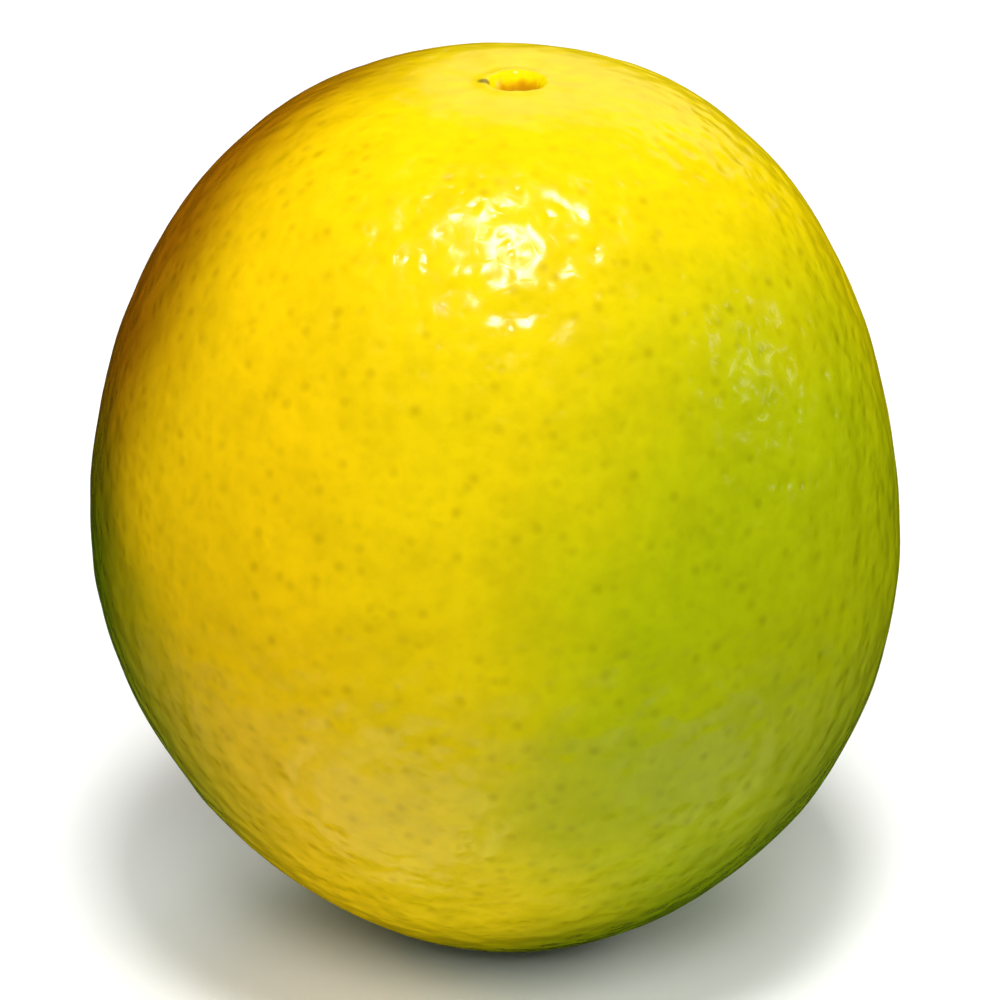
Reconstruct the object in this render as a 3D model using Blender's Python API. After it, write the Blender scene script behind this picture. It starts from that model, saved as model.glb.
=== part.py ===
"""A whole sweet orange, taller than it is wide, standing on the small flat spot under it.

Run it with blender --background --python part.py, or from Blender's text editor. Lengths are in metres and +Z
runs up the fruit's core. The origin is the middle of the fruit's box, on the surface that it stands on.
"""

import math

import bmesh
import bpy

MM = 0.001

# Driving dimensions of the fruit.
RADIUS = 37.0 * MM  # at the waist, the widest level
CROWN_HEIGHT = 44.3 * MM  # from the waist up to the crown
BELLY_DEPTH = 40.5 * MM  # from the waist down to the tip that the flat spot takes off
TIP_TAKEN_OFF = 1.6 * MM  # how much of that tip the flat spot takes off
SPOT_EASING = 0.4 * MM  # half the height over which the belly rounds into the flat spot

# How square each half is: a pair of superellipse powers, for the radius and for the height.
CROWN_POWERS = (2.40, 2.00)
BELLY_POWERS = (1.80, 1.91)

# The crown sinks a little towards the stem scar, a small round pit with a low lip.
CROWN_SINK = 1.0 * MM
CROWN_SINK_RADIUS = 9.0 * MM
SCAR_RADIUS = 2.7 * MM  # at the lip
SCAR_FLOOR_RADIUS = 1.4 * MM
SCAR_DEPTH = 1.7 * MM
LIP_HEIGHT = 0.15 * MM
LIP_WIDTH = 0.9 * MM
SCAR_OFFSET = 1.9 * MM  # the scar sits this far off the core, towards +X
SCAR_OFFSET_RADIUS = 12.0 * MM

# The core's bend, as the sizes of its two cosine waves from the base to the crown, along X.
CORE_BEND = (0.68 * MM, 0.40 * MM)
OVAL = 0.006  # share by which the fruit is narrower along Y, halved
LOBES = 0.004  # share by which three broad lobes swell the waist

# How finely the fruit is turned.
SECTORS = 64
BELLY_RINGS = 20
CROWN_RINGS = 18
SCAR_RINGS = 8
SCAR_ZONE = 4.2 * MM  # the crown is turned more finely inside this radius

PEEL_COLOUR = (0.72, 0.60, 0.01, 1.0)
PEEL_ROUGHNESS = 0.38
SMOOTH_UP_TO = math.radians(35)


def clear_scene():
    for obj in list(bpy.data.objects):
        bpy.data.objects.remove(obj)


def smooth_step(low, high, value):
    share = min(max((value - low) / (high - low), 0.0), 1.0)
    return share * share * (3.0 - 2.0 * share)


def superellipse(angle, height, powers):
    """Radius and height above the waist of a quarter outline, from the waist at angle 0 to its tip."""
    radius = RADIUS * max(math.cos(angle), 0.0) ** (2.0 / powers[0])
    return radius, height * math.sin(angle) ** (2.0 / powers[1])


def crown_above_waist(radius):
    """The superellipse solved for its height, where the radius is known."""
    share = 1.0 - (radius / RADIUS) ** CROWN_POWERS[0]
    return CROWN_HEIGHT * share ** (1.0 / CROWN_POWERS[1])


def crown_relief(radius):
    """How far the crown's sink, the scar's lip and its pit change the height at this radius."""
    sink = -CROWN_SINK * math.exp(-((radius / CROWN_SINK_RADIUS) ** 2))
    lip = LIP_HEIGHT * math.exp(-(((radius - SCAR_RADIUS) / LIP_WIDTH) ** 2))
    pit = SCAR_DEPTH * (1.0 - smooth_step(SCAR_FLOOR_RADIUS, SCAR_RADIUS, radius))
    return sink + lip - pit


def settled(rise):
    """The height above the table of a belly point that rises this far above the flat spot's plane."""
    if rise <= -SPOT_EASING:
        return 0.0
    if rise < SPOT_EASING:
        return (rise + SPOT_EASING) ** 2 / (4.0 * SPOT_EASING)
    return rise


def spot_edge_angle():
    """The superellipse angle at which the belly meets the flat spot."""
    share = (BELLY_DEPTH - TIP_TAKEN_OFF + SPOT_EASING) / BELLY_DEPTH
    return math.asin(share ** (BELLY_POWERS[1] / 2))


def outline():
    """(radius, height) from the middle of the flat spot, out to the waist, and in to the scar's floor."""
    waist = BELLY_DEPTH - TIP_TAKEN_OFF
    spot_edge = spot_edge_angle()
    spot_radius, _ = superellipse(spot_edge, BELLY_DEPTH, BELLY_POWERS)
    points = [(0.0, 0.0), (spot_radius, 0.0)]
    for ring in range(1, BELLY_RINGS):
        radius, depth = superellipse(spot_edge * (1 - ring / BELLY_RINGS), BELLY_DEPTH, BELLY_POWERS)
        points.append((radius, settled(waist - depth)))
    scar_edge = math.acos((SCAR_ZONE / RADIUS) ** (CROWN_POWERS[0] / 2))
    for ring in range(CROWN_RINGS):
        radius, rise = superellipse(scar_edge * ring / CROWN_RINGS, CROWN_HEIGHT, CROWN_POWERS)
        points.append((radius, waist + rise + crown_relief(radius)))
    for ring in range(SCAR_RINGS + 1):
        radius = SCAR_ZONE * (1 - ring / SCAR_RINGS)
        points.append((radius, waist + crown_above_waist(radius) + crown_relief(radius)))
    return points


def turned(points):
    """A closed body of revolution about Z, spun from an outline that starts and ends on the axis."""
    body = bmesh.new()
    corners = [body.verts.new((radius, 0.0, height)) for radius, height in points]
    edges = [body.edges.new(pair) for pair in zip(corners, corners[1:])]
    bmesh.ops.spin(
        body,
        geom=corners + edges,
        cent=(0, 0, 0),
        axis=(0, 0, 1),
        angle=2 * math.pi,
        steps=SECTORS,
        use_duplicate=False,
    )
    bmesh.ops.remove_doubles(body, verts=body.verts[:], dist=0.01 * MM)
    bmesh.ops.recalc_face_normals(body, faces=body.faces[:])
    return body


def grow_unevenly(body):
    """Moves the turned body's corners: broad lobes round the waist, a bent core and a scar off its middle."""
    full_height = CROWN_HEIGHT + BELLY_DEPTH - TIP_TAKEN_OFF
    for corner in body.verts:
        x, y, z = corner.co
        radius = math.hypot(x, y)
        turn = math.atan2(y, x)
        share = z / full_height
        swell = OVAL * (math.cos(2 * turn) - 1) - LOBES * math.sin(3 * turn)
        scale = 1 + swell * math.sin(math.pi * min(share, 1.0))
        bend = sum(
            size * math.cos((wave + 1) * math.pi * share)
            for wave, size in enumerate(CORE_BEND)
        )
        if share > 0.5:
            bend += SCAR_OFFSET * math.exp(-((radius / SCAR_OFFSET_RADIUS) ** 2))
        corner.co.x = x * scale + bend
        corner.co.y = y * scale


def centre_on_footprint(body):
    """Puts the origin in the middle of the fruit's box, seen from above."""
    for axis in (0, 1):
        places = [corner.co[axis] for corner in body.verts]
        middle = (min(places) + max(places)) / 2
        for corner in body.verts:
            corner.co[axis] -= middle


def peel_material():
    material = bpy.data.materials.new("waxy_citrus_peel")
    material.use_nodes = True
    shader = material.node_tree.nodes["Principled BSDF"]
    shader.inputs["Base Color"].default_value = PEEL_COLOUR
    shader.inputs["Roughness"].default_value = PEEL_ROUGHNESS
    shader.inputs["Metallic"].default_value = 0.0
    return material


def make_orange():
    body = turned(outline())
    grow_unevenly(body)
    centre_on_footprint(body)
    mesh = bpy.data.meshes.new("orange")
    body.to_mesh(mesh)
    body.free()
    mesh.shade_smooth()
    mesh.set_sharp_from_angle(angle=SMOOTH_UP_TO)
    mesh.materials.append(peel_material())
    orange = bpy.data.objects.new("orange", mesh)
    bpy.context.scene.collection.objects.link(orange)
    return orange


clear_scene()
make_orange()
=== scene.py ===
"""A whole sweet orange in fine detail, standing on a pale studio floor.

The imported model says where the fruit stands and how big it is. The peel is worked out in millimetres, because its
pits are a fraction of one, and is put into its mesh in metres.
"""

import math

import bpy
import numpy as np
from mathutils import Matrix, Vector


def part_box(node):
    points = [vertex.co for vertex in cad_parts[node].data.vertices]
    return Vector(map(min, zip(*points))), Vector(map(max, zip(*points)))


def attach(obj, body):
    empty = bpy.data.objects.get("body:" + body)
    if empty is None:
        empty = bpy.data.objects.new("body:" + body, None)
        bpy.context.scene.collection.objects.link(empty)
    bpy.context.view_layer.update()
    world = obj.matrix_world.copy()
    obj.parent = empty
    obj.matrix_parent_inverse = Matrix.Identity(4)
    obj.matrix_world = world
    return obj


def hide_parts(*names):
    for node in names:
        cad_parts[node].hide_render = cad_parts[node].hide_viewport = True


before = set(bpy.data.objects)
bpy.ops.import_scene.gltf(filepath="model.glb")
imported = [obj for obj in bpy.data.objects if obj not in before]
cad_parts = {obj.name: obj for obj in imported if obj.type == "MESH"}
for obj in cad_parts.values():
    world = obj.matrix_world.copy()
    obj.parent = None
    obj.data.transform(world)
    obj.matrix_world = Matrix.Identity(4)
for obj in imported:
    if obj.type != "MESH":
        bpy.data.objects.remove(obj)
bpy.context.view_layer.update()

MM = 0.001
FRUIT_LOW, FRUIT_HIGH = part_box("orange")
FRUIT_MIDDLE = (FRUIT_LOW + FRUIT_HIGH) / 2
FRUIT_HALF = (FRUIT_HIGH - FRUIT_LOW) / 2

# The outline's driving dimensions, in mm, as the solid in the frame has them.
RADIUS = 37.0
CROWN_HEIGHT = 44.3
BELLY_DEPTH = 40.5
TIP_TAKEN_OFF = 1.6
SPOT_EASING = 0.4
CROWN_POWERS = (2.40, 2.00)
BELLY_POWERS = (1.80, 1.91)
CROWN_SINK = 1.0
CROWN_SINK_RADIUS = 9.0
SCAR_RADIUS = 2.7
SCAR_FLOOR_RADIUS = 1.4
SCAR_DEPTH = 1.7
LIP_HEIGHT = 0.15
LIP_WIDTH = 0.9
SCAR_OFFSET = 1.9
SCAR_OFFSET_RADIUS = 12.0
CORE_BEND = (0.68, 0.40)
OVAL = 0.006
LOBES = 0.004

# How finely the peel is meshed.
SECTORS = 440
RINGS = 226
OUTLINE_STEPS = 6000
SCAR_FINENESS = 2.0  # how many more rings, for each mm, cross the scar
SCAR_ZONE = (4.0, 7.0)  # mm, where that extra fineness ends

# The oil glands' cells, in mm: how far apart, how wide the ridge between two is and how deep each dips, and the
# pit in its middle. The pores are fewer, and each is a small pit of its own.
GLAND_SPACING, GLAND_RIDGE, GLAND_DEPTH = 1.65, 1.6, 0.10
PIT_REACH, PIT_DEPTH = 0.6, 0.04
PORE_SPACING, PORE_REACH, PORE_DEPTH = 2.4, 0.8, 0.02
MESH_SHARE = 0.4  # of that relief, and the bump has the rest
DEEP_SHARE = 0.4  # of the bump's height is left in the shading under the wax, where light spreads
SMOOTH_SCAR = (3.0, 22.0)  # mm from the scar's middle, where the pits start and are full

# The slow unevenness under the pits: waves this long, in mm, from the longest to the shortest.
SWELL_WAVES = 40
SWELL_LENGTHS = (20.0, 2.2)
SWELL_STEEPNESS = 0.007  # each wave's height over its length
SWELL_SEED = 11
REST_EASING = (1.0, 6.0)  # mm above the table, where the unevenness starts and is full

# Faint furrows that run out from the scar, and its ragged edge, in mm.
FURROWS = 9
FURROW_DEPTH = 0.06
FURROW_REACH = (5.5, 2.2)  # their middle and half width, from the scar's own middle
RAGGED_EDGE = 0.16
FLOOR_DOTS = 7  # the ends of the stem's veins, in a ring
FLOOR_DOT_HEIGHT = 0.02
FLOOR_DOT_RING = (0.85, 0.35)

# The peel's colours: ripe yellow, and patches laid over it in turn. Each gives the way it faces, as degrees round
# the fruit from the front and up from the waist, how far out that way it starts and is full, as shares of the
# fruit's half size, and its colour. The last three are darker towards the edges the lamps leave: painted shade over
# the peel's own colour.
RIPE_YELLOW = "f0d400"
PATCHES_AND_SHADE = (
    ((-90, 0), 0.0, 0.6, "ffd200"),  # the warm, riper side
    ((50, -5), 0.5, 0.9, "bcc800"),  # the side still green
    ((125, -60), 0.35, 0.8, "708c00"),  # the greenest part, low down, darkened as painted shade too
    ((-120, 20), 0.45, 0.85, "a86a00"),  # an orange-brown shoulder: riper colour, darkened as painted shade
    ((-95, -25), 0.6, 1.0, "669000"),  # a green flank, darkened as painted shade
)
WANDER = 0.22  # how far a patch's edge wanders, in the same shares
WANDER_SIZE = 16.0  # mm across each turn of the edge

# What the small marks multiply the peel's colour by, and how strongly.
MOTTLE_SIZE, MOTTLE_DARKEST = 1.6, 0.93  # mm across each blotch
CLOUD_SIZE, CLOUD_DARKEST = 6.0, 0.92
BLOTCH_EDGES = (0.3, 0.65)  # the noise is darkest below the first and clear above the other
CELL_TINT = 0.12, "d2dc00"
PIT_TINT = 0.06, "a0a800"
PORE_TINT = 0.26, "a09000"

# The scar's colours from the outside in: the radii in mm where each is full and has faded, and the colour. The
# browns of the floor are partly its own colour and partly painted shade where the hollow is deepest.
SCAR_TINTS_AND_SHADE = (
    ((2.2, 2.8), "ffe500"),
    ((1.95, 2.3), "e0ac00"),
    ((1.75, 2.1), "bc8600"),
)
SCAR_WANDER = 0.5  # mm by which their edges wander
SPECK_PLACE, SPECK_REACH, SPECK_SHARE, SPECK_TINT = (-3.0, 0.0, 1.7), (0.3, 0.8), 0.9, "7a6200"

WAX_ROUGHNESS = 0.24
WAX_RIPPLE_SIZE, WAX_RIPPLE_HEIGHT = 2.4, 0.5  # mm across each ripple of the wax, and its height
GRAIN_SIZE, GRAIN_HEIGHT = 0.35, 0.006  # mm, the peel's finest texture

CAMERA_ELEVATION = math.radians(24)
CAMERA_DISTANCE = 0.6
VIEW_WIDTH = 0.0915  # of the picture, at the fruit's middle
SENSOR_WIDTH = 36.0
CAMERA_AIM = Vector((0.0004, 0.0, 0.0003))  # from the fruit's middle

# The stage, in metres. The boards lie just under the table's level, each a little above the one before.
FLOOR_RADIUS, FLOOR_LEVEL = 3.0, -0.0006
CARD_RADIUS, CARD_LEVEL = 0.08, -0.0002
GREY_CARD_RADIUS, GREY_CARD_LEVEL = 0.020, -0.0001
GREY_CARDS = (
    ("left_card", (-0.021, -0.046), "b4b4ac"),
    ("right_card", (0.045, -0.044), "7c7c76"),
)
BOARD_WHITE = "f2f2f0"
BOARD_ROUGHNESS = 0.9
BOARD_CORNERS = 96

# The lamps: each one's azimuth and elevation in degrees, distance and side in metres, power in watts, and whether
# the wax mirrors it. The first three are mirrored, and the fills only brighten the peel.
SKY_STRENGTH = 0.145
LAMPS = (
    ("key", 8, 75, 1.5, (0.34, 0.34), 15.0, True),
    ("window", 91, 15, 1.8, (0.16, 0.16), 0.8, True),
    ("back", 164, 23, 2.1, (1.3, 1.0), 2.0, True),
    ("front_fill", 0, 45, 2.4, (1.2, 1.2), 32.0, False),
    ("right_fill", 130, 12, 2.4, (1.2, 1.2), 26.0, False),
    ("left_fill", -45, 12, 2.4, (1.2, 1.2), 5.0, False),
    ("back_fill", 180, 45, 2.4, (1.2, 1.2), 15.0, False),
)


def smooth_step(low, high, value):
    """0 below low, 1 above high, and an S-shaped rise between them."""
    share = np.clip((value - low) / (high - low), 0.0, 1.0)
    return share * share * (3.0 - 2.0 * share)


def crown_relief(radius):
    """How far the sink, a bell curve, the lip, a narrow bell curve, and the stepped pit change the height."""
    sink = -CROWN_SINK * np.exp(-((radius / CROWN_SINK_RADIUS) ** 2))
    lip = LIP_HEIGHT * np.exp(-(((radius - SCAR_RADIUS) / LIP_WIDTH) ** 2))
    pit = SCAR_DEPTH * (1.0 - smooth_step(SCAR_FLOOR_RADIUS, SCAR_RADIUS, radius))
    return sink + lip - pit


def outline():
    """Radius and height from the middle of the flat spot, out to the waist, and in to the scar's floor.

    Each half is a superellipse: the radius is a power of an angle's cosine, and the height of its sine. The belly
    rounds into the flat spot along a short parabola.
    """
    waist = BELLY_DEPTH - TIP_TAKEN_OFF
    turn = np.linspace(math.pi / 2, 0.0, OUTLINE_STEPS)
    belly_radius = RADIUS * np.cos(turn).clip(0.0) ** (2.0 / BELLY_POWERS[0])
    rise = waist - BELLY_DEPTH * np.sin(turn) ** (2.0 / BELLY_POWERS[1])
    eased = (rise + SPOT_EASING).clip(0.0) ** 2 / (4.0 * SPOT_EASING)
    belly_height = np.where(rise < SPOT_EASING, eased, rise)
    turn = turn[::-1][1:]
    crown_radius = RADIUS * np.cos(turn).clip(0.0) ** (2.0 / CROWN_POWERS[0])
    crown_height = waist + CROWN_HEIGHT * np.sin(turn) ** (2.0 / CROWN_POWERS[1])
    crown_height = crown_height + crown_relief(crown_radius)
    return np.append(belly_radius, crown_radius), np.append(belly_height, crown_height)


def ring_places():
    """Radius and height of each ring, evenly spaced along the outline and closer together across the scar."""
    radius, height = outline()
    step = np.hypot(np.diff(radius), np.diff(height))
    in_scar = (1.0 - smooth_step(*SCAR_ZONE, radius[1:])) * (height[1:] > CROWN_HEIGHT)
    along = np.append(0.0, np.cumsum(step * (1.0 + SCAR_FINENESS * in_scar)))
    wanted = np.linspace(0.0, along[-1], RINGS)
    return np.interp(wanted, along, radius), np.interp(wanted, along, height)


def grown(radius, height, turn):
    """Points of the turned outline after growing unevenly.

    The waist swells in an oval and three lobes, which fade to the ends by a sine. The core bends by two cosine
    waves, and a bell curve carries the scar off the middle.
    """
    share = height / (CROWN_HEIGHT + BELLY_DEPTH - TIP_TAKEN_OFF)
    swell = OVAL * (np.cos(2 * turn) - 1) - LOBES * np.sin(3 * turn)
    scale = 1 + swell * np.sin(math.pi * share.clip(0.0, 1.0))
    bend = sum(size * np.cos((wave + 1) * math.pi * share) for wave, size in enumerate(CORE_BEND))
    bend = bend + (share > 0.5) * SCAR_OFFSET * np.exp(-((radius / SCAR_OFFSET_RADIUS) ** 2))
    x = radius * np.cos(turn) * scale + bend
    y = radius * np.sin(turn) * scale
    return np.stack([x, y, np.broadcast_to(height, x.shape)], axis=-1)


def set_in_frame(points):
    """The same points, moved and stretched so that they fill the frame's box for the fruit."""
    low, high = points.min(axis=(0, 1)), points.max(axis=(0, 1))
    wanted_low, wanted_high = np.array(FRUIT_LOW) / MM, np.array(FRUIT_HIGH) / MM
    return wanted_low + (points - low) / (high - low) * (wanted_high - wanted_low)


def outward(points):
    """Unit normals of a grid of rings by sectors: the cross product of its two directions."""
    across = np.gradient(points, axis=0)
    around = np.roll(points, -1, axis=1) - np.roll(points, 1, axis=1)
    normals = np.cross(around, across)
    normals[0], normals[-1] = (0, 0, -1), (0, 0, 1)
    return normals / np.linalg.norm(normals, axis=-1, keepdims=True)


# The hash that the Voronoi texture itself uses: which word is changed, by which, turned how far.
MIXING = ((0, 2, 4, 1), (1, 0, 6, 2), (2, 1, 8, 0), (0, 2, 16, 1), (1, 0, 19, 2), (2, 1, 4, 0))
FINISHING = ((2, 1, 14), (0, 2, 11), (1, 0, 25), (2, 1, 16), (0, 2, 4), (1, 0, 14), (2, 1, 24))


def turned_bits(words, by):
    return (words << np.uint32(by)) | (words >> np.uint32(32 - by))


def stirred(*numbers):
    """Bob Jenkins' hash of three or four arrays of floats, as an array of numbers from 0 to 1."""
    words = [np.float32(number).view(np.uint32) for number in numbers]
    start = np.uint32((0xDEADBEEF + 4 * len(words) + 13) % 2**32)
    state = [start + word for word in words[:3]]
    if len(words) == 4:
        for changed, other, by, third in MIXING:
            state[changed] = (state[changed] - state[other]) ^ turned_bits(state[other], by)
            state[other] = state[other] + state[third]
        state[0] = state[0] + words[3]
    for changed, other, by in FINISHING:
        state[changed] = (state[changed] ^ state[other]) - turned_bits(state[other], by)
    return state[2] / np.float32(0xFFFFFFFF)


def cells(points, spacing):
    """Distances in mm to the nearest and the next of the points strewn one in each cube of a lattice.

    The points are those of the Voronoi texture at the same scale, so that each dent lies under its own colour.
    """
    places = (points / spacing).astype(np.float32)
    cube = np.floor(places)
    nearest = np.full(points.shape[:-1], np.inf)
    following = nearest
    ones = np.ones_like(cube[..., 0])
    for offset in np.ndindex(3, 3, 3):
        near = cube + (np.float32(offset) - 1)
        x, y, z = near[..., 0], near[..., 1], near[..., 2]
        strewn = np.stack([stirred(x, y, z), stirred(x, y, z, ones), stirred(x, y, z, ones * 2)], axis=-1)
        distance = np.linalg.norm(near + strewn - places, axis=-1)
        following = np.minimum(following, np.maximum(nearest, distance))
        nearest = np.minimum(nearest, distance)
    return nearest * spacing, following * spacing


def dents(points, from_scar):
    """How far the peel dips at each point.

    Each oil gland's cell dips by an S-shaped ramp of how much further the next cell's middle is, which leaves a
    rounded ridge between them. A small round pit marks the middle, and another each pore.
    """
    nearest, following = cells(points, GLAND_SPACING)
    pore, _ = cells(points, PORE_SPACING)
    dip = GLAND_DEPTH * smooth_step(0.0, GLAND_RIDGE, following - nearest)
    dip = dip + PIT_DEPTH * (1.0 - smooth_step(0.0, PIT_REACH, nearest))
    dip = dip + PORE_DEPTH * (1.0 - smooth_step(0.0, PORE_REACH, pore))
    return MESH_SHARE * dip * smooth_step(*SMOOTH_SCAR, from_scar)


def swells(points):
    """Slow unevenness: a sum of sine waves that cross the fruit in seeded directions, from long to short."""
    rng = np.random.default_rng(SWELL_SEED)
    height = np.zeros(points.shape[:-1])
    for length in np.geomspace(*SWELL_LENGTHS, SWELL_WAVES):
        way = rng.normal(size=3)
        way /= np.linalg.norm(way)
        start = rng.uniform(0.0, 2 * math.pi)
        height += SWELL_STEEPNESS * length * np.sin(points @ way * (2 * math.pi / length) + start)
    return height / math.sqrt(SWELL_WAVES)


def bell(value, middle, half_width):
    """A bell curve: 1 at its middle, and 1/e at half its width from there."""
    return np.exp(-(((value - middle) / half_width) ** 2))


def scar_details(radius, turn):
    """How far the furrows, the scar's ragged edge and the veins' ends raise the crown.

    Furrows and vein ends are cosines round the scar under a bell curve of the radius. The edge is ragged because
    the scar's relief is read at a radius that three sines push in and out.
    """
    furrows = 0.5 + 0.5 * np.cos(FURROWS * turn + 1.3 * np.sin(2 * turn))
    furrows = -FURROW_DEPTH * furrows * bell(radius, *FURROW_REACH)
    ragged = np.sin(3 * turn + 0.4) + 0.6 * np.sin(5 * turn + 2.0) + 0.4 * np.sin(11 * turn)
    pushed = RAGGED_EDGE / 2 * ragged * bell(radius, SCAR_RADIUS, SCAR_RADIUS / 2)
    edge = crown_relief(radius + pushed) - crown_relief(radius)
    dots = FLOOR_DOT_HEIGHT * (0.5 + 0.5 * np.cos(FLOOR_DOTS * turn)) ** 2 * bell(radius, *FLOOR_DOT_RING)
    return furrows + edge + dots


def closed_mesh(name, points):
    """A closed mesh from a grid of rings by sectors, whose first and last ring each shrink to one point."""
    rings, sectors, _ = points.shape
    inner = points[1:-1].reshape(-1, 3)
    corners = np.concatenate([points[:1, 0], inner, points[-1:, 0]]) * MM
    ring, sector = np.meshgrid(np.arange(rings - 3), np.arange(sectors), indexing="ij")
    here = 1 + ring * sectors + sector
    beside = 1 + ring * sectors + (sector + 1) % sectors
    quads = np.stack([here, beside, beside + sectors, here + sectors], axis=-1).reshape(-1, 4)
    last = len(corners) - 1
    first_ring = 1 + np.arange(sectors)
    last_ring = last - sectors + np.arange(sectors)
    bottom = np.stack([np.zeros_like(first_ring), np.roll(first_ring, -1), first_ring], axis=-1)
    top = np.stack([np.full_like(last_ring, last), last_ring, np.roll(last_ring, -1)], axis=-1)
    mesh = bpy.data.meshes.new(name)
    mesh.from_pydata(corners.tolist(), [], quads.tolist() + bottom.tolist() + top.tolist())
    mesh.shade_smooth()
    mesh.validate()
    return mesh


def make_peel():
    """The fruit's whole surface, and the middle of its scar's floor in metres."""
    radius, height = ring_places()
    turn = np.linspace(0.0, 2 * math.pi, SECTORS, endpoint=False)
    points = set_in_frame(grown(radius[:, None], height[:, None], turn[None, :]))
    on_crown = (height > CROWN_HEIGHT)[:, None]
    from_scar = np.where(on_crown, radius[:, None], RADIUS)
    lift = on_crown * scar_details(radius[:, None], turn[None, :])
    grown_up = smooth_step(*REST_EASING, height)[:, None]
    uneven = swells(points) * grown_up * smooth_step(*SMOOTH_SCAR, from_scar) - dents(points, from_scar)
    points = points + outward(points) * uneven[..., None]
    points[..., 2] += lift
    points[..., 2] = points[..., 2].clip(0.0)
    peel = bpy.data.objects.new("orange_peel", closed_mesh("orange_peel", points))
    bpy.context.scene.collection.objects.link(peel)
    return peel, Vector(points[-1, 0]) * MM


def linear(hex_colour):
    """The linear RGBA of an sRGB hex colour."""
    parts = [int(hex_colour[i : i + 2], 16) / 255 for i in (0, 2, 4)]
    return [(p / 12.92 if p <= 0.04045 else ((p + 0.055) / 1.055) ** 2.4) for p in parts] + [1.0]


def add(tree, kind, inputs=(), **settings):
    """Adds a shader node, sets its own settings, and gives its inputs a value or a link each."""
    node = tree.nodes.new("ShaderNode" + kind)
    for name, value in settings.items():
        setattr(node, name, value)
    for socket, value in dict(inputs).items():
        if isinstance(value, bpy.types.NodeSocket):
            tree.links.new(value, node.inputs[socket])
        else:
            node.inputs[socket].default_value = value
    return node


def direction(azimuth, elevation):
    """The unit vector that points this many degrees round from the front, towards +X, and this many up."""
    turn, rise = math.radians(azimuth), math.radians(elevation)
    return Vector((math.sin(turn) * math.cos(rise), -math.cos(turn) * math.cos(rise), math.sin(rise)))


def patched_colour_and_shade(tree, place):
    """The peel's broad colours, some patches partly painted shade: each patch is full round the way it faces, and
    its edge wanders by a noise.
    """
    scale = Vector([1 / half for half in FRUIT_HALF])
    centring = {"Vector": place, "Location": -FRUIT_MIDDLE * scale, "Scale": scale}
    around = add(tree, "Mapping", centring).outputs[0]
    edges = {"Vector": place, "Scale": 1 / (WANDER_SIZE * MM), "Detail": 4.0}
    noise = add(tree, "TexNoise", edges).outputs[0]
    wander = add(tree, "Math", {0: noise, 1: 0.5}, operation="SUBTRACT").outputs[0]
    colour = linear(RIPE_YELLOW)
    # Three of the patches are painted shade laid over the peel's own colour.
    for facing, start, full, tint in PATCHES_AND_SHADE:
        way = direction(*facing)
        reach = add(tree, "VectorMath", {0: around, 1: way}, operation="DOT_PRODUCT").outputs["Value"]
        wandering = add(tree, "Math", {0: wander, 1: WANDER, 2: reach}, operation="MULTIPLY_ADD").outputs[0]
        steps = {"Value": wandering, "From Min": start, "From Max": full}
        share = add(tree, "MapRange", steps, interpolation_type="SMOOTHSTEP").outputs[0]
        colour = add(tree, "Mix", {0: share, 6: colour, 7: linear(tint)}, data_type="RGBA").outputs[2]
    return colour


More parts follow.
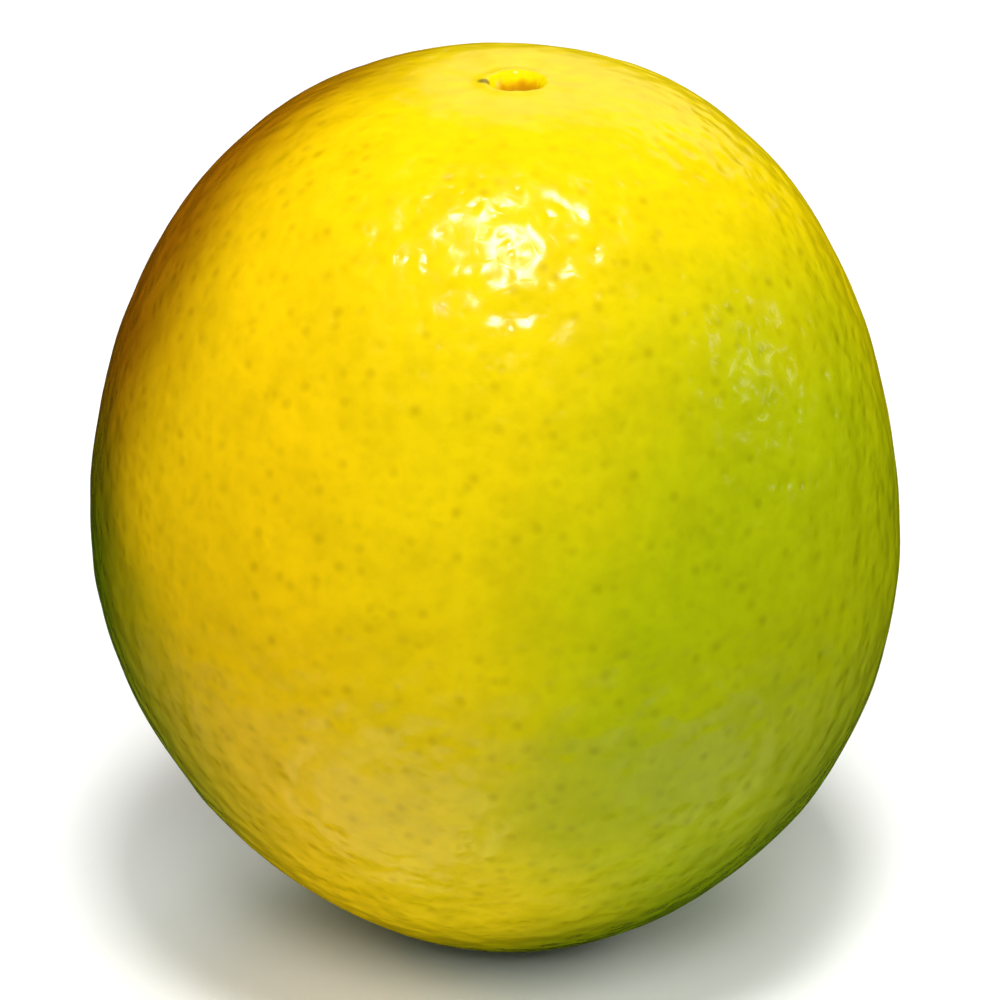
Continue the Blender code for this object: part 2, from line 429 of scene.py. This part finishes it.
def peel_material(scar):
    """Citrus peel under its own wax.

    The wax's ripples break a lamp's mirror image into soft bright glints. The colour lies deeper, where light
    spreads, so its shading is gentler, and it is darkest in the pits.
    """
    material = bpy.data.materials.new("waxy_citrus_peel")
    material.use_nodes = True
    tree = material.node_tree
    shader = tree.nodes["Principled BSDF"]
    place = add(tree, "TexCoord").outputs["Object"]
    from_scar = distance_from_scar(tree, place, scar)
    steps = {"Value": from_scar, "From Min": SMOOTH_SCAR[0] * MM, "From Max": SMOOTH_SCAR[1] * MM}
    pitted = add(tree, "MapRange", steps, interpolation_type="SMOOTHSTEP").outputs[0]

    glands = {"Vector": place, "Scale": 1 / (GLAND_SPACING * MM)}
    nearest = add(tree, "TexVoronoi", glands).outputs["Distance"]
    following = add(tree, "TexVoronoi", glands, feature="F2").outputs["Distance"]
    further = add(tree, "Math", {0: following, 1: nearest}, operation="SUBTRACT").outputs[0]
    pore = add(tree, "TexVoronoi", {"Vector": place, "Scale": 1 / (PORE_SPACING * MM)}).outputs["Distance"]
    marks = []
    for distance, none, full in (
        (further, 0.0, GLAND_RIDGE / GLAND_SPACING),
        (nearest, PIT_REACH / GLAND_SPACING, 0.0),
        (pore, PORE_REACH / PORE_SPACING, 0.0),
    ):
        steps = {"Value": distance, "From Min": none, "From Max": full}
        share = add(tree, "MapRange", steps, interpolation_type="SMOOTHSTEP").outputs[0]
        marks.append(add(tree, "Math", {0: share, 1: pitted}, operation="MULTIPLY").outputs[0])
    cell, pit, pore = marks
    mottling = {"Vector": place, "Scale": 1 / (MOTTLE_SIZE * MM), "Detail": 3.0}
    mottle = add(tree, "TexNoise", mottling).outputs[0]

    colour = patched_colour_and_shade(tree, place)
    clouding = {"Vector": place, "Scale": 1 / (CLOUD_SIZE * MM), "Detail": 3.0}
    cloud = add(tree, "TexNoise", clouding).outputs[0]
    for blotch, darkest in ((mottle, MOTTLE_DARKEST), (cloud, CLOUD_DARKEST)):
        start, end = BLOTCH_EDGES
        steps = {"Value": blotch, "From Min": start, "From Max": end, "To Min": darkest, "To Max": 1.0}
        light = add(tree, "MapRange", steps, interpolation_type="SMOOTHSTEP").outputs[0]
        colour = add(tree, "VectorMath", {0: colour, 3: light}, operation="SCALE").outputs[0]
    for share, strength, tint in ((cell, *CELL_TINT), (pit, *PIT_TINT), (pore, *PORE_TINT)):
        share = add(tree, "Math", {0: share, 1: strength}, operation="MULTIPLY").outputs[0]
        colour = add(tree, "Mix", {0: share, 6: colour, 7: linear(tint)}, data_type="RGBA",
                     blend_type="MULTIPLY").outputs[2]
    colour = scar_colour_and_shade(tree, place, scar, from_scar, colour, mottle)
    tree.links.new(colour, shader.inputs["Base Color"])

    shader.inputs["Specular IOR Level"].default_value = 0.0
    shader.inputs["Coat Weight"].default_value = 1.0
    shader.inputs["Coat Roughness"].default_value = WAX_ROUGHNESS
    shader.inputs["Coat IOR"].default_value = 1.45

    grains = {"Vector": place, "Scale": 1 / (GRAIN_SIZE * MM), "Detail": 2.0}
    grain = add(tree, "TexNoise", grains).outputs[0]
    height = add(tree, "Math", {0: grain, 1: GRAIN_HEIGHT}, operation="MULTIPLY").outputs[0]
    ripples = {"Vector": place, "Scale": 1 / (WAX_RIPPLE_SIZE * MM), "Detail": 0.0}
    ripple = add(tree, "TexNoise", ripples).outputs[0]
    for share, depth in ((cell, GLAND_DEPTH), (pit, PIT_DEPTH), (pore, PORE_DEPTH)):
        depth = depth * (1 - MESH_SHARE)
        height = add(tree, "Math", {0: share, 1: -depth, 2: height}, operation="MULTIPLY_ADD").outputs[0]
    deep = add(tree, "Bump", {"Height": height, "Distance": DEEP_SHARE * MM}).outputs[0]
    tree.links.new(deep, shader.inputs["Normal"])
    ripple = add(tree, "Math", {0: ripple, 1: pitted}, operation="MULTIPLY").outputs[0]
    rippled = {0: ripple, 1: WAX_RIPPLE_HEIGHT, 2: height}
    height = add(tree, "Math", rippled, operation="MULTIPLY_ADD").outputs[0]
    wax = add(tree, "Bump", {"Height": height, "Distance": MM}).outputs[0]
    tree.links.new(wax, shader.inputs["Coat Normal"])
    return material


def distance_from_scar(tree, place, scar):
    """How far a point of the crown is from the scar's upright axis, and further the lower it lies."""
    across = add(tree, "VectorMath", {0: place, 1: scar}, operation="SUBTRACT").outputs[0]
    below = add(tree, "VectorMath", {0: across, 1: (0.0, 0.0, 0.0)}, operation="MINIMUM").outputs[0]
    below = add(tree, "SeparateXYZ", {0: below}).outputs[2]
    flat = add(tree, "VectorMath", {0: across, 1: (1.0, 1.0, 0.0)}, operation="MULTIPLY").outputs[0]
    radius = add(tree, "VectorMath", {0: flat}, operation="LENGTH").outputs["Value"]
    return add(tree, "Math", {0: radius, 1: below}, operation="SUBTRACT").outputs[0]


def scar_colour_and_shade(tree, place, scar, from_scar, colour, mottle):
    """The stem's scar over the peel's colour: yellow walls, a brown floor that is partly painted shade of the deep
    hollow, and a corky speck on the rim.
    """
    wander = add(tree, "Math", {0: mottle, 1: 0.5}, operation="SUBTRACT").outputs[0]
    wandering = {0: wander, 1: SCAR_WANDER * MM, 2: from_scar}
    radius = add(tree, "Math", wandering, operation="MULTIPLY_ADD").outputs[0]
    # The inner browns are partly painted shade on the hollow's floor.
    for reach, tint in SCAR_TINTS_AND_SHADE:
        steps = {"Value": radius, "From Min": reach[1] * MM, "From Max": reach[0] * MM}
        share = add(tree, "MapRange", steps, interpolation_type="SMOOTHSTEP").outputs[0]
        colour = add(tree, "Mix", {0: share, 6: colour, 7: linear(tint)}, data_type="RGBA").outputs[2]
    speck = scar + Vector(SPECK_PLACE) * MM
    off_speck = add(tree, "VectorMath", {0: place, 1: speck}, operation="DISTANCE").outputs["Value"]
    steps = {"Value": off_speck, "From Min": SPECK_REACH[1] * MM, "From Max": SPECK_REACH[0] * MM,
             "To Max": SPECK_SHARE}
    share = add(tree, "MapRange", steps, interpolation_type="SMOOTHSTEP").outputs[0]
    return add(tree, "Mix", {0: share, 6: colour, 7: linear(SPECK_TINT)}, data_type="RGBA").outputs[2]


def make_camera():
    """A long lens, looking along +Y and down at the fruit."""
    data = bpy.data.cameras.new("camera")
    data.sensor_width = SENSOR_WIDTH
    data.lens = SENSOR_WIDTH * CAMERA_DISTANCE / VIEW_WIDTH
    camera = bpy.data.objects.new("camera", data)
    aim = FRUIT_MIDDLE + CAMERA_AIM
    back = Vector((0.0, -math.cos(CAMERA_ELEVATION), math.sin(CAMERA_ELEVATION)))
    camera.location = aim + back * CAMERA_DISTANCE
    camera.rotation_euler = (-back).to_track_quat("-Z", "Y").to_euler()
    bpy.context.scene.collection.objects.link(camera)
    bpy.context.scene.camera = camera


def make_lamp(name, azimuth, elevation, distance, size, power, seen_in_gloss):
    """A soft box, as wide and high as its size says, that faces the fruit."""
    data = bpy.data.lights.new(name, "AREA")
    data.shape = "RECTANGLE"
    data.size, data.size_y = size
    data.energy = power
    lamp = bpy.data.objects.new(name, data)
    away = direction(azimuth, elevation)
    lamp.location = FRUIT_MIDDLE + away * distance
    lamp.rotation_euler = away.to_track_quat("Z", "Y").to_euler()
    lamp.visible_camera = False
    lamp.visible_glossy = seen_in_gloss
    data.cycles.use_multiple_importance_sampling = seen_in_gloss
    bpy.context.scene.collection.objects.link(lamp)


def matt_board(name, tint):
    """Matt painted board, which spreads light evenly and gives no shine of its own."""
    material = bpy.data.materials.new(name)
    material.use_nodes = True
    shader = material.node_tree.nodes["Principled BSDF"]
    shader.inputs["Base Color"].default_value = linear(tint)
    shader.inputs["Roughness"].default_value = BOARD_ROUGHNESS
    return material


def round_board(name, radius, height, material, middle=(0.0, 0.0)):
    """A flat disc, its corners evenly round a circle."""
    turn = np.linspace(0.0, 2 * math.pi, BOARD_CORNERS, endpoint=False)
    x = middle[0] + radius * np.cos(turn)
    y = middle[1] + radius * np.sin(turn)
    rim = np.stack([x, y, np.full_like(turn, height)], axis=-1)
    mesh = bpy.data.meshes.new(name)
    mesh.from_pydata(rim.tolist(), [], [list(range(len(rim)))])
    mesh.materials.append(material)
    board = bpy.data.objects.new(name, mesh)
    bpy.context.scene.collection.objects.link(board)
    return board


def make_floor():
    """A plain pale floor, and the cards on it.

    A white card throws light back at the belly, and the belly's wax mirrors two grey cards in front.
    """
    white = matt_board("matt_white_board", BOARD_WHITE)
    floor = round_board("floor", FLOOR_RADIUS, FLOOR_LEVEL, white)
    floor.visible_glossy = False
    floor.visible_diffuse = False
    card = round_board("card", CARD_RADIUS, CARD_LEVEL, white)
    card.visible_glossy = False
    card.visible_shadow = False
    for name, middle, tint in GREY_CARDS:
        grey = matt_board("matt_grey_card", tint)
        mirrored = round_board(name, GREY_CARD_RADIUS, GREY_CARD_LEVEL, grey, middle)
        mirrored.visible_camera = False
        mirrored.visible_diffuse = False
        mirrored.visible_shadow = False


def make_light():
    world = bpy.data.worlds.new("studio")
    world.use_nodes = True
    world.node_tree.nodes["Background"].inputs["Color"].default_value = (1, 1, 1, 1)
    world.node_tree.nodes["Background"].inputs["Strength"].default_value = SKY_STRENGTH
    bpy.context.scene.world = world
    world.cycles_visibility.glossy = False
    bpy.context.scene.view_settings.view_transform = "Standard"
    for lamp in LAMPS:
        make_lamp(*lamp)


make_camera()
make_floor()
make_light()
orange_peel, scar_floor = make_peel()
orange_peel.data.materials.append(peel_material(scar_floor))
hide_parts("orange")
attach(orange_peel, "root")
